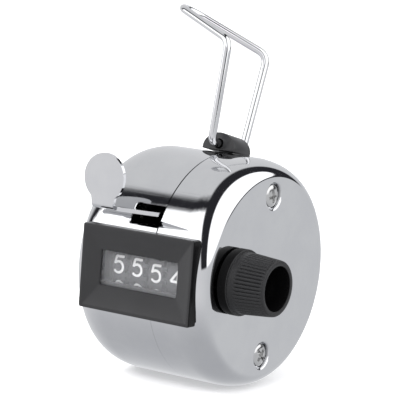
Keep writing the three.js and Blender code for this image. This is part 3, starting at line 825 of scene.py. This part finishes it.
def numerals(place, shown, lift, shift):
    """Ten printed numerals wrapped round a wheel: shown faces the window, raised by lift degrees."""
    low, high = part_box(f"{place}_wheel")
    middle = (low.x + high.x) / 2 / MM + shift
    half_stroke, film = 0.25, 0.03
    merged = bmesh.new()
    for digit in range(10):
        turn = math.radians(lift) + (shown - digit) * math.radians(36)
        for stroke in digit_strokes(digit):
            flat = sweep("stroke", [(x, 0, z) for x, z in finer(stroke)], half_stroke, 8)
            for v in flat.data.vertices:
                x, raised, z = v.co / MM
                angle, r = turn + z / WHEEL_R, WHEEL_R + film * (0.3 - raised / half_stroke)
                v.co = Vector((middle + x, SHAFT_Y - r * math.cos(angle), SHAFT_Z + r * math.sin(angle))) * MM
            merged.from_mesh(flat.data)
            bpy.data.objects.remove(flat)
    bmesh.ops.recalc_face_normals(merged, faces=merged.faces)
    mesh = bpy.data.meshes.new(f"{place}_numerals")
    merged.to_mesh(mesh)
    merged.free()
    obj = link(f"{place}_numerals", mesh)
    smooth_by_angle(obj, 60)
    return show(obj, place, "wheel_plastic", PAINT)


SHOWING = {
    "thousands": (5, 5.0, -0.35),
    "hundreds": (5, 5.0, -0.35),
    "tens": (5, 1.6, -0.3),
    "units": (4, -1.0, -0.05),
}
for place, setting in SHOWING.items():
    number_wheel(place)
    numerals(place, *setting)


# ---------------------------------------------------------------- reset knob

def knob_plastic():
    """The knob's own moulding, with painted shade on its flange rim and inside its cup: there its colour is darker
    and its specular level lower than on the grip.
    """
    flange_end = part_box("reset_knob")[0].x + 1.84 * MM

    def grip(nodes):
        axes = object_axes(nodes)
        across = nodes.maths("SUBTRACT", axes["Y"], SHAFT_Y * MM)
        above = nodes.maths("SUBTRACT", axes["Z"], SHAFT_Z * MM)
        squares = nodes.maths("MULTIPLY", across, across), nodes.maths("MULTIPLY", above, above)
        radius = nodes.maths("SQRT", nodes.maths("ADD", *squares))
        past_flange = nodes.step(axes["X"], flange_end, flange_end + 0.06 * MM)
        return nodes.maths("MULTIPLY", past_flange, nodes.step(radius, 4.33 * MM, 4.4 * MM))

    # The darker colour on the flange rim and inside the cup is painted shade.
    return plastic_with_painted_shade(
        "knob_black_plastic", grip, painted_shade=(0.002, 0.002, 0.0022, 1), colour=(0.006, 0.006, 0.007, 1),
        tint=(0.009, 0.009, 0.01, 1), roughness=(0.4, 0.54), shine=(0.08, 0.42), grain=2200, strength=0.15,
    )


def reset_knob():
    """The knurled cup: a flange, a smooth collar, fine ribs up to the rim, and a deep hollow."""
    low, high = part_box("reset_knob")
    start, length = low.x / MM, (high.x - low.x) / MM
    collar, tip_x, rib_start, rib_end = 2.2, length - 0.2, 3.2, length - 0.3
    ribs, depth, fade_length = 48, 0.22, 0.3

    def taper(x):
        return 5.95 + (5.36 - 5.95) * (x - collar) / (tip_x - collar)

    outer = [(0, 6.25), (0.06, 6.38), (0.15, 6.4), (1.82, 6.4), (1.95, 6.36), (2.0, 6.25), (2.02, 6.05)]
    rows = [collar, 2.6, 2.95, *[rib_start + (tip_x - rib_start) * i / 22 for i in range(23)]]
    outer += [(x, taper(x)) for x in rows]
    lip = [(length - 0.1, 5.3), (length, 5.17), (length, 4.5), (length - 0.06, 4.36), (length - 0.2, 4.3)]
    inner = [(5.5, 4.28), (3.7, 4.25), (3.42, 4.1), (3.35, 3.8), (3.35, 1.65), (0, 1.65)]

    def ribbed(x, radius, angle):
        local = x - start
        if radius < 5.3 or not rib_start < local < rib_end:
            return radius
        fade = min(1.0, min(local - rib_start, rib_end - local) / fade_length)
        crest = abs(math.sin(angle * ribs / 2)) ** 0.6
        return radius + depth * fade * (crest - 0.8)

    profile = [(start + x, r) for x, r in [*outer, *lip, *inner]]
    knob = revolve("reset_knob_moulding", profile, ribs * 10, (SHAFT_Y, SHAFT_Z), ribbed)
    smooth_by_angle(knob, 40)
    return show(knob, "knob", "black_plastic", knob_plastic(), "reset_knob")


reset_knob()


# ---------------------------------------------------------------- thumb lever

def across_y(y):
    """Places an (x, z) outline from y towards +Y."""
    return lambda a, b, c: (a, y + c, b)


def across_z(z):
    return lambda a, b, c: (a, b, z + c)


def across_x(x):
    return lambda a, b, c: (x + c, a, b)


def pad_outline(pad_x, pad_z):
    """The round thumb pad and its neck, seen from the front."""
    reach = math.degrees(math.asin(NECK / 2 / PAD_R))
    rim = arc((pad_x, pad_z), PAD_R, reach * 1.12 - 90, 270 - reach * 1.12, 72)
    side = [(pad_x - NECK / 2 - 0.1, pad_z - 4.6), (pad_x - NECK / 2, pad_z - 5.1)]
    foot = [(pad_x - NECK / 2, PLATE_Z - 1), (pad_x + NECK / 2, PLATE_Z - 1)]
    return [*rim, *side, *foot, *[(2 * pad_x - x, z) for x, z in reversed(side)]]


def bent_sheet(pad_x, front, top):
    """The strip that turns up from the plate into the pad, before it is trimmed to the pad's outline."""
    outer, inner, run = 1.0, 0.25, 1.35
    section = [(front, top + 1), *arc((front + outer, PLATE_Z + outer), outer, 180, 270, 8)]
    section += [(front + run, PLATE_Z), (front + run, PLATE_Z + SHEET)]
    section += arc((front + SHEET + inner, PLATE_Z + SHEET + inner), inner, 270, 180, 4)
    section += [(front + SHEET, top + 1)]
    return prism("thumb_lever_sheet", section, [], across_x(pad_x - 6), 12)


def lever_plate(pad_x, front):
    """The flat plate over the wheels, with its window and the strip that leads out to the pad."""
    left, right, rear, fore, strip_left, strip_right = 5.0, 26.4, 11.0, -15.5, 12.4, 18.35
    neck_left, neck_right = pad_x - NECK / 2, pad_x + NECK / 2
    plan = [
        (left, rear), (left, fore), (strip_left, fore), (strip_left, front + 1.35), (neck_left, front + 1.35),
        (neck_left, front + 1.1), (neck_right, front + 1.1), (neck_right + 0.3, front + 0.7),
        (neck_right + 0.9, front + 0.35), (neck_right + 1.9, front + 0.25), (strip_right, front + 1.6),
        (strip_right, fore), (right, fore), (right, rear),
    ]
    window = [(9, -11.5), (9, 6.5), (22.4, 6.5), (22.4, -11.5)]
    return prism("plate", plan, [window], across_z(PLATE_Z), SHEET)


def lever_arm(x, thickness):
    """A side arm, from the plate down to the pivot pin."""
    pivot = JOINTS["lever_press"]["pos_m"]
    eye = circle((pivot[1] / MM, pivot[2] / MM), 1.1, 24)
    arm = [(3, PLATE_Z + 0.4), (6.4, 6), (6.7, 3), (8, 2.1), (9.5, 1.8), (11, 2.1), (12.2, 3), (12.2, 6)]
    return prism("arm", [*arm, (11, PLATE_Z + 0.4)], [eye], across_x(x), thickness)


def thumb_lever():
    low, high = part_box("thumb_lever")
    front, top = low.y / MM, high.z / MM
    pad_x = low.x / MM + PAD_R
    lever = bent_sheet(pad_x, front, top)
    pad = prism("pad", pad_outline(pad_x, top - PAD_R), [], across_y(front - 1), 4)
    boolean(lever, [pad], "INTERSECT")
    boolean(lever, [lever_plate(pad_x, front), lever_arm(5.0, 0.8), lever_arm(25.8, 0.6)], "UNION")
    soften(lever, 0.16, 3, 40)
    return show(lever, "lever", "chrome", CHROME, "thumb_lever")


thumb_lever()


# ---------------------------------------------------------------- finger loop and its mount

def loop_place():
    """Turns (x, along the hinge line, away from the case) into a point of the CAD frame, in millimetres."""
    joint = JOINTS["loop_fold"]
    centre = Vector(joint["pos_m"]) / MM
    along = Vector(joint["axis"]).normalized()
    away = Vector((1, 0, 0)).cross(along)
    return lambda x, p, u: centre + Vector((x, 0, 0)) + along * p + away * u


def rounded_corner(before, corner, after, reach, steps):
    """An arc-like curve round a corner, starting and ending reach away from it."""
    a = corner + (before - corner).normalized() * reach
    b = corner + (after - corner).normalized() * reach
    curve = []
    for i in range(steps + 1):
        t = i / steps
        curve.append(a * (1 - t) ** 2 + corner * 2 * t * (1 - t) + b * t * t)
    return curve


def bow_tip(bends, reach, radius, steps):
    """The rounded end of the bow, as (along the hinge line, distance from the bends), with tangent sides."""
    centre = reach - radius
    inward = math.atan2(bends, centre) - math.asin(radius / math.hypot(bends, centre))
    angles = [math.pi - inward - i / steps * (math.pi - 2 * inward) for i in range(steps + 1)]
    return [(radius * math.cos(a), centre + radius * math.sin(a)) for a in angles]


def finger_loop():
    """The bent wire: two feet in the mount, two legs, and a bow that folds over and narrows to its tip."""
    feet, bends, leg, fold, reach = 5.8, 7.4, 20.0, math.radians(69.4), 17.8
    bow = bow_tip(bends, reach, 3.5, 40)
    tip = [Vector((-math.sin(fold) * d, p, leg + math.cos(fold) * d)) for p, d in bow]
    inner, foot, bend = Vector((0, -1.9, 0)), Vector((0, -feet, 0)), Vector((0, -bends, leg))
    half = [inner, inner.lerp(foot, 0.3)]
    half += rounded_corner(inner, foot, bend, 1.5, 12)
    half += rounded_corner(foot, bend, tip[0], 2.2, 16)
    half += [half[-1].lerp(tip[0], t) for t in (0.25, 0.5, 0.75)]
    other = [Vector((v.x, -v.y, v.z)) for v in reversed(half)]
    lean, place = math.radians(1.2), loop_place()
    points = []
    for v in half + tip + other:
        x = v.x * math.cos(lean) + v.z * math.sin(lean)
        u = v.z * math.cos(lean) - v.x * math.sin(lean)
        points.append(place(x, v.y, u))
    wire = sweep("finger_loop_wire", points, 0.8, 32)
    smooth_by_angle(wire, 50)
    return show(wire, "loop", "chrome", WIRE, "finger_loop")


def round_cutter(name, place_ring, ends):
    """A rod between two ends; place_ring(end, cosine, sine) gives each point."""
    angles = [2 * math.pi * i / 32 for i in range(32)]
    loops = [[place_ring(end, math.cos(a), math.sin(a)) for a in angles] for end in ends]
    return skin(name, loops, caps=(True, True))


def loop_mount():
    """The half-round block that holds the wire's feet, standing clear of the case on a short stem."""
    place = loop_place()
    base = 22.75 - Vector(JOINTS["loop_fold"]["pos_m"]).yz.length / MM
    half, height, length, foot, socket, stem = 3.7, 3.45, 6.2, 0.4, 1.05, 1.4
    arch = [(half * math.cos(a), base + foot + (height - foot) * math.sin(a))
            for a in (math.pi * i / 40 for i in range(41))]
    outline = [(half, base), *arch, (-half, base)]
    block = prism("loop_mount_block", outline, [], lambda a, b, c: place(a, c - length / 2, b), length)
    sockets = []
    for side in (-1, 1):
        ends = (side * (length / 2 + 1), side * (length / 2 - 1.7))
        sockets.append(round_cutter("socket", lambda p, c, s: place(socket * c, p, socket * s), ends))
    boolean(block, sockets)
    soften(block, 0.18, 3, 40)
    rod = round_cutter("stem", lambda u, c, s: place(stem * c, stem * s, u), (base - 3.0, base + 0.4))
    boolean(block, [rod], "UNION")
    smooth_by_angle(block, 30)
    return show(block, "case", "black_plastic", BLACK, "loop_mount")


finger_loop()
loop_mount()


# ---------------------------------------------------------------- inner CAD pieces keep their shape

SLOT_MATERIALS = {
    "steel": STEEL, "zinc_plate": ZINC, "brass": BRASS, "chrome": CHROME, "black_plastic": BLACK,
}
slot_of = {part["node"]: part["material_slot"] for part in frame["record"]["subparts"]}
for node, obj in frame["nodes"].items():
    if not obj.hide_render:
        obj.data.materials.clear()
        obj.data.materials.append(SLOT_MATERIALS[slot_of[node]])


# ---------------------------------------------------------------- studio

def make_floor():
    """A pale floor under the counter; the light tent closes below it, so it stays out of reflections."""
    size, steps, z = 3000.0, 24, cad_bounds[0][2] / MM
    grid = [-size + 2 * size * i / steps for i in range(steps + 1)]
    verts = [(x, y, z) for y in grid for x in grid]
    row = steps + 1
    faces = [(j * row + i, j * row + i + 1, (j + 1) * row + i + 1, (j + 1) * row + i)
             for j in range(steps) for i in range(steps)]
    floor = mesh_object("studio_floor", verts, faces)
    floor.visible_glossy = False
    material, nodes, shader = new_material("pale_floor", Roughness=0.6, Emission_Strength=0.25)
    pale = nodes.blend(object_noise(nodes, 6, 2.0), (0.90, 0.90, 0.905, 1), (0.93, 0.93, 0.93, 1))
    nodes.feed(shader.inputs["Base Color"], pale)
    floor.data.materials.append(material)


ROOF, WHITE_WALL, SOFTBOX = (0.84, 0.845, 0.86, 1), (2.1, 2.1, 2.12, 1), (1.9, 1.9, 1.92, 1)
GAP = (0.03, 0.03, 0.035, 1)


def wall_and_roof(nodes, where):
    """The tent's bright front wall, a dark gap with uneven edges above it, and the pale roof."""
    coarse = nodes.add("ShaderNodeTexNoise", Vector=where, Scale=9.0, Detail=3.0).outputs["Fac"]
    fine = nodes.add("ShaderNodeTexNoise", Vector=where, Scale=70.0, Detail=4.0).outputs["Fac"]
    mixed = nodes.maths("ADD", nodes.maths("MULTIPLY", coarse, 0.10), nodes.maths("MULTIPLY", fine, 0.16))
    fuzz = nodes.maths("SUBTRACT", mixed, 0.13)
    lift = math.radians(67)
    above = nodes.maths("ADD", nodes.dot(where, (0, math.sin(lift), math.cos(lift))), fuzz)
    colour = nodes.blend(nodes.step(above, -0.16, -0.04), WHITE_WALL, GAP)
    return nodes.blend(nodes.step(above, 0.06, 0.24), colour, ROOF)


def table_grey(nodes, where, height):
    """The table's colour: lighter towards the left front, and darkest straight below."""
    bearing = nodes.dot(where, (-0.53, -0.85, 0))
    table = nodes.blend(nodes.step(bearing, -0.9, 0.9), (0.79, 0.80, 0.82, 1), (0.95, 0.95, 0.97, 1))
    return nodes.blend(nodes.step(height, -0.3, -0.95), table, (0.60, 0.61, 0.635, 1))


def softbox(nodes, where, height, colour):
    """A bright round box high on the right in a dark surround, with a dark line under it at the rear."""
    box = nodes.dot(where, (0.779, 0.108, 0.617))
    surround = nodes.step(box, 0.33, 0.39)
    colour = nodes.blend(surround, colour, GAP)
    colour = nodes.blend(nodes.step(box, 0.62, 0.66), colour, SOFTBOX)
    behind = nodes.step(nodes.dot(where, (0, 1, 0)), 0.3, 0.55)
    under = nodes.maths("MULTIPLY", behind, surround)
    foot = nodes.maths("MULTIPLY", nodes.step(height, 0.22, 0.18), under)
    return nodes.blend(foot, colour, GAP)


def make_world():
    """A light tent round the counter: a plain white backdrop to the camera, and shapes in reflections."""
    world = bpy.data.worlds.new("studio")
    bpy.context.scene.world = world
    world.use_nodes = True
    nodes = Nodes(world.node_tree)
    where = nodes.add("ShaderNodeTexCoord").outputs["Generated"]
    height = nodes.dot(where, (0, 0, 1))
    colour = wall_and_roof(nodes, where)
    table = table_grey(nodes, where, height)
    shade = nodes.step(nodes.dot(where, (1, 0, 0)), -0.82, -0.6, 0.0, 0.33)
    colour = nodes.blend(nodes.step(nodes.maths("SUBTRACT", height, shade), 0.08, 0.02), colour, table)
    colour = softbox(nodes, where, height, colour)
    colour = nodes.blend(nodes.step(height, 0.10, 0.05), colour, table)
    seen = nodes.add("ShaderNodeLightPath").outputs["Is Camera Ray"]
    colour = nodes.blend(seen, colour, (1.0, 1.0, 1.0, 1))
    background = nodes.add("ShaderNodeBackground", Color=colour, Strength=1.0)
    output = nodes.add("ShaderNodeOutputWorld")
    world.node_tree.links.new(background.outputs["Background"], output.inputs["Surface"])


def area_light(name, place, target, size, power):
    data = bpy.data.lights.new(name, "AREA")
    data.energy = power
    data.size = size
    light = bpy.data.objects.new(name, data)
    light.location = place
    light.rotation_euler = (Vector(target) - Vector(place)).to_track_quat("-Z", "Y").to_euler()
    light.visible_glossy = False
    bpy.context.scene.collection.objects.link(light)


make_floor()
make_world()
area_light("key", (-0.5, -0.6, 0.7), (0.015, 0, 0.01), 0.5, 9)
bpy.context.scene.view_settings.view_transform = "Standard"
